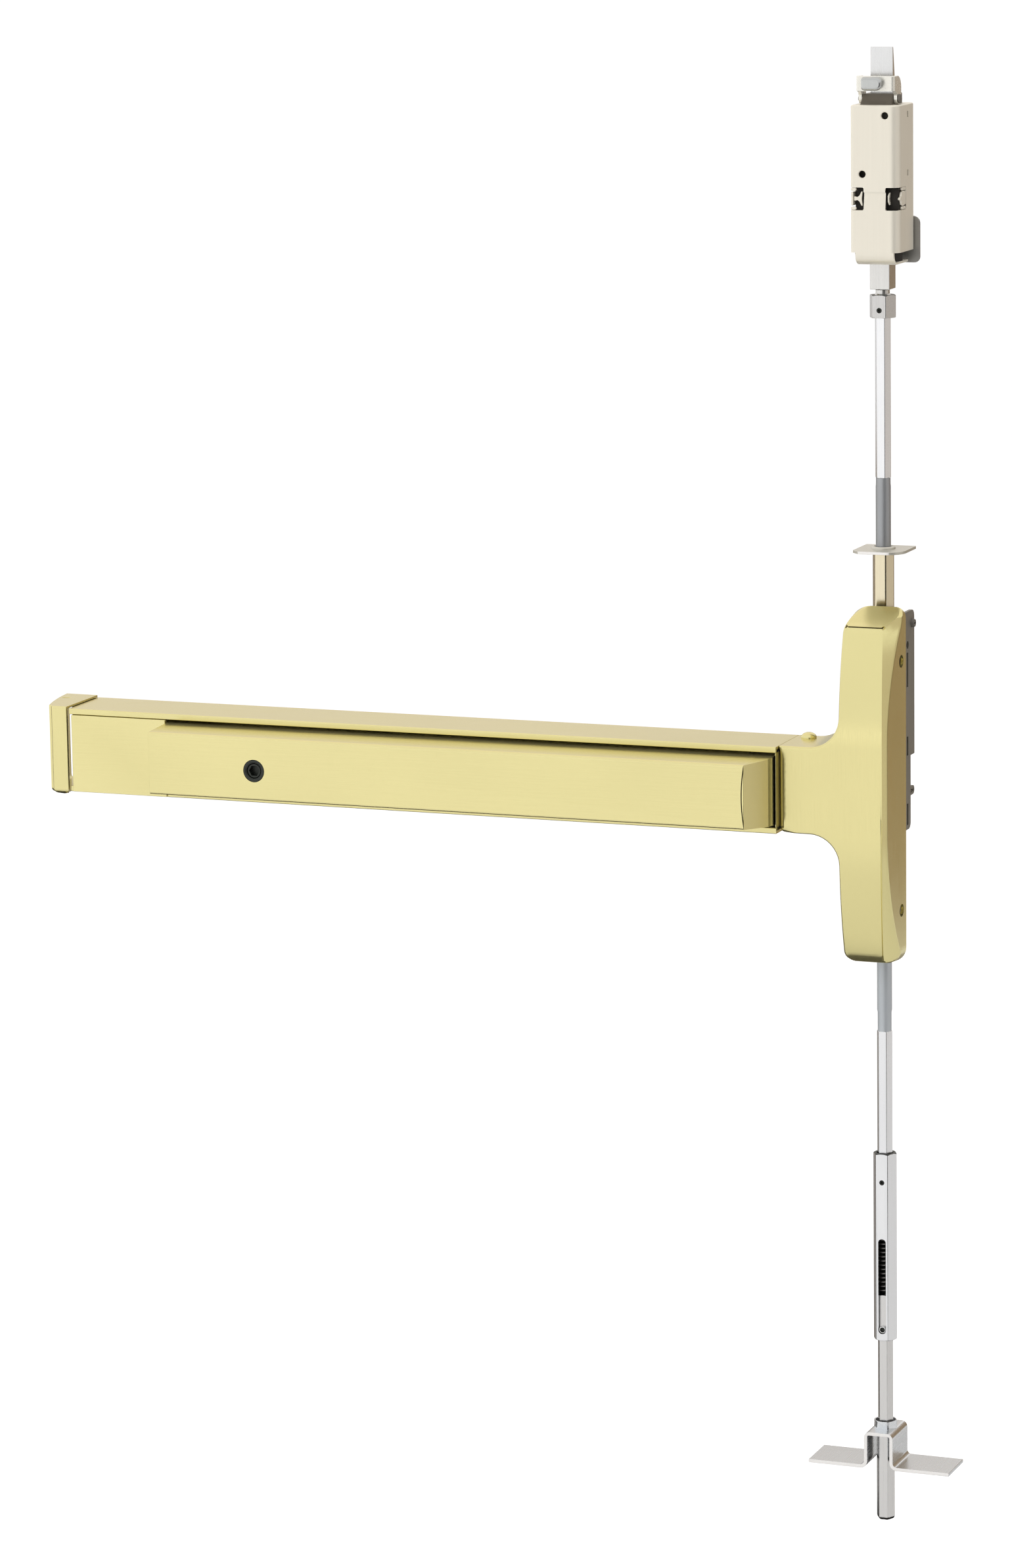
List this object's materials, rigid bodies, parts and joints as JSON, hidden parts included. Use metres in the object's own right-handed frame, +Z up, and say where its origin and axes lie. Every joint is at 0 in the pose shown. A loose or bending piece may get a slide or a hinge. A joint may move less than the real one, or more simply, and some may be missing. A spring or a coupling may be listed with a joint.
{
  "type": "vertical rod exit device",
  "caption": "Door exit device with a sprung push pad on a rail, a centre cover and concealed rods that draw a top latch bolt and a bottom bolt.",
  "frame": {"origin": "on the rods' axis in X, on the door's face in Y, at the rail's mid height in Z: the centre of the four chassis mounting holes", "axes": "+X along the door away from the rail, +Y into the door, +Z up"},
  "size_m": [0.7555, 0.1337, 1.17],
  "materials": {
    "brass": "satin brass-toned plating with a fine lengthwise brushing",
    "dark_socket": "black oxide",
    "zinc": "zinc plated steel sheet",
    "steel": "bright drawn steel bar",
    "mechanism": "dull grey cast and folded steel",
    "cream_case": "warm white zinc plated sheet",
    "spring_steel": "oiled spring wire",
    "moulded": "dark moulded nylon",
    "bumper": "grey moulded nylon"
  },
  "bodies": {
    "chassis": {"bolt_guide": "moulded", "bottom_guide_bracket": "zinc", "bracket_screws": "zinc", "case_back_plate": "zinc", "case_lugs": "zinc", "case_spring": "spring_steel", "case_top_plate": "zinc", "centre_cover": "brass", "chassis_frame": "mechanism", "chassis_plate": "zinc", "clamp_screws": "zinc", "cover_dome_screw": "brass", "cover_side_screws": "brass", "crank_bracket_left": "zinc", "crank_bracket_right": "zinc", "crank_pivot_pins": "steel", "dogging_catch": "zinc", "end_bracket": "zinc", "end_cap": "brass", "end_cap_screw": "brass", "frame_tab": "mechanism", "guide_bushing": "moulded", "guide_plate": "zinc", "latch_case": "cream_case", "lever_pivots": "steel", "rail_bracket": "zinc", "rail_channel": "brass", "rail_filler": "brass", "rod_tube": "zinc", "trip_pivot_pin": "steel", "tube_clamp": "mechanism"},
    "push_pad": {"push_pad": "brass", "pad_left_plug": "brass", "pad_end_cap": "brass", "pad_carrier": "zinc", "dogging_bushing": "dark_socket"},
    "dogging_screw": {"dogging_screw": "dark_socket"},
    "crank_left": {"crank_left": "mechanism"},
    "crank_right": {"crank_right": "mechanism"},
    "actuator_bar": {"actuator_bar": "zinc", "transfer_yoke": "zinc"},
    "lift_lever_upper": {"lift_lever_upper": "mechanism"},
    "lift_lever_lower": {"lift_lever_lower": "mechanism"},
    "top_rod": {"lift_block_upper": "mechanism", "top_rod": "steel", "coupling_nut": "steel", "nut_set_screw": "steel", "connecting_block": "steel", "bolt_carrier": "mechanism", "top_bolt": "steel"},
    "bottom_rod": {"lift_block_lower": "mechanism", "bottom_rod": "steel", "adjusting_sleeve": "steel", "sleeve_set_screw": "steel", "bolt_spring": "spring_steel"},
    "bottom_bolt": {"bolt_shaft": "steel", "keeper_screw": "steel", "bottom_bolt": "steel"},
    "trip_lever": {"trip_lever": "zinc", "trip_bumper": "bumper"}
  },
  "joints": [
    {"name": "pad_press", "type": "slide", "parent": "chassis", "child": "push_pad", "axis": [0, 1, 0], "range_m": [0, 0.014], "stiffness_N_per_m": 1500, "springref_m": -0.006},
    {"name": "crank_left_turn", "type": "hinge", "parent": "chassis", "child": "crank_left", "pos_m": [-0.43, -0.03, 0], "axis": [0, 0, -1], "range_deg": [0, 40.98]},
    {"name": "crank_right_turn", "type": "hinge", "parent": "chassis", "child": "crank_right", "pos_m": [-0.17, -0.03, 0], "axis": [0, 0, -1], "range_deg": [0, 40.98]},
    {"name": "bar_slide", "type": "slide", "parent": "chassis", "child": "actuator_bar", "axis": [1, 0, 0], "range_m": [0, 0.012]},
    {"name": "upper_lever_turn", "type": "hinge", "parent": "chassis", "child": "lift_lever_upper", "pos_m": [0.0112, 0.007, 0.024], "axis": [0, -1, 0], "range_deg": [0, 60]},
    {"name": "lower_lever_turn", "type": "hinge", "parent": "chassis", "child": "lift_lever_lower", "pos_m": [0.0112, 0.007, -0.024], "axis": [0, 1, 0], "range_deg": [0, 60]},
    {"name": "top_rod_lift", "type": "slide", "parent": "chassis", "child": "top_rod", "axis": [0, 0, -1], "range_m": [0, 0.012], "deforming": ["case_spring"]},
    {"name": "bottom_rod_lift", "type": "slide", "parent": "chassis", "child": "bottom_rod", "axis": [0, 0, 1], "range_m": [0, 0.012]},
    {"name": "bottom_bolt_telescope", "type": "slide", "parent": "bottom_rod", "child": "bottom_bolt", "axis": [0, 0, 1], "range_m": [0, 0.02], "stiffness_N_per_m": 250, "springref_m": -0.008, "deforming": ["bolt_spring"]},
    {"name": "trip_lever_tip", "type": "hinge", "parent": "chassis", "child": "trip_lever", "pos_m": [0, 0.015, 0.5273], "axis": [1, 0, 0], "range_deg": [-25, 0], "stiffness_Nm_per_rad": 0.05, "springref_deg": 20.05},
    {"name": "dogging_turn", "type": "hinge", "parent": "push_pad", "child": "dogging_screw", "pos_m": [-0.4886, -0.09, -0.0015], "axis": [0, 1, 0], "range_deg": [0, 90]}
  ],
  "couplings": [
    {"joint": "crank_left_turn", "follows": "pad_press", "rad_per_m": 51.08},
    {"joint": "crank_right_turn", "follows": "pad_press", "rad_per_m": 51.08},
    {"joint": "bar_slide", "follows": "pad_press", "ratio": 0.85714},
    {"joint": "upper_lever_turn", "follows": "pad_press", "rad_per_m": 74.799},
    {"joint": "lower_lever_turn", "follows": "pad_press", "rad_per_m": 74.799},
    {"joint": "top_rod_lift", "follows": "pad_press", "ratio": 0.85714},
    {"joint": "bottom_rod_lift", "follows": "pad_press", "ratio": 0.85714}
  ]
}
